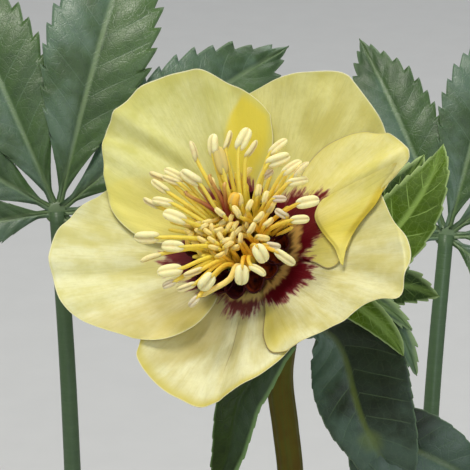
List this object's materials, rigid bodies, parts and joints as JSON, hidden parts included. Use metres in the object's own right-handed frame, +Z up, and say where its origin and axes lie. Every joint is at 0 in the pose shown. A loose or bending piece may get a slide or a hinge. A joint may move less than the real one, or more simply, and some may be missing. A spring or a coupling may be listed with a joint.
{
  "type": "potted hellebore plant",
  "caption": "Hellebore in flower in a plain clay pot: an open pale yellow bloom with a dark eye on an upright stem, toothed bracts and palmate leaves",
  "frame": {"origin": "centre of the underside of the pot's foot, which stands on the ground", "axes": "+Z up along the pot's axis, -Y towards the viewer whom the bloom half faces, +X to the viewer's right"},
  "size_m": [0.3609, 0.2321, 0.3478],
  "materials": {
    "terracotta": "matte unglazed fired clay",
    "soil": "rough damp bark compost",
    "stem": "satin olive green stem",
    "sepal": "soft translucent pale yellow sepal",
    "nectary": "glossy dark maroon",
    "stamen": "matte cream anthers on yellow filaments",
    "carpel": "satin reddish brown",
    "bract": "satin mid green leaf",
    "leaf": "leathery satin dark green leaf"
  },
  "bodies": {
    "root": {"pot": "terracotta", "soil": "soil", "flower_stem": "stem", "sepal_bottom": "sepal", "sepal_left": "sepal", "sepal_lower_right": "sepal", "sepal_top": "sepal", "sepal_upper_left": "sepal", "sepal_right": "sepal", "nectaries": "nectary", "stamens": "stamen", "carpels": "carpel", "bract_lower_right": "bract", "bract_lower_left": "bract", "bract_right": "bract", "bract_upper": "bract", "bract_left": "bract", "leaf_1": "leaf", "leaf_2": "leaf", "leaf_3": "leaf", "leaf_4": "leaf", "leaf_5": "leaf", "leaf_6": "leaf"}
  },
  "joints": []
}
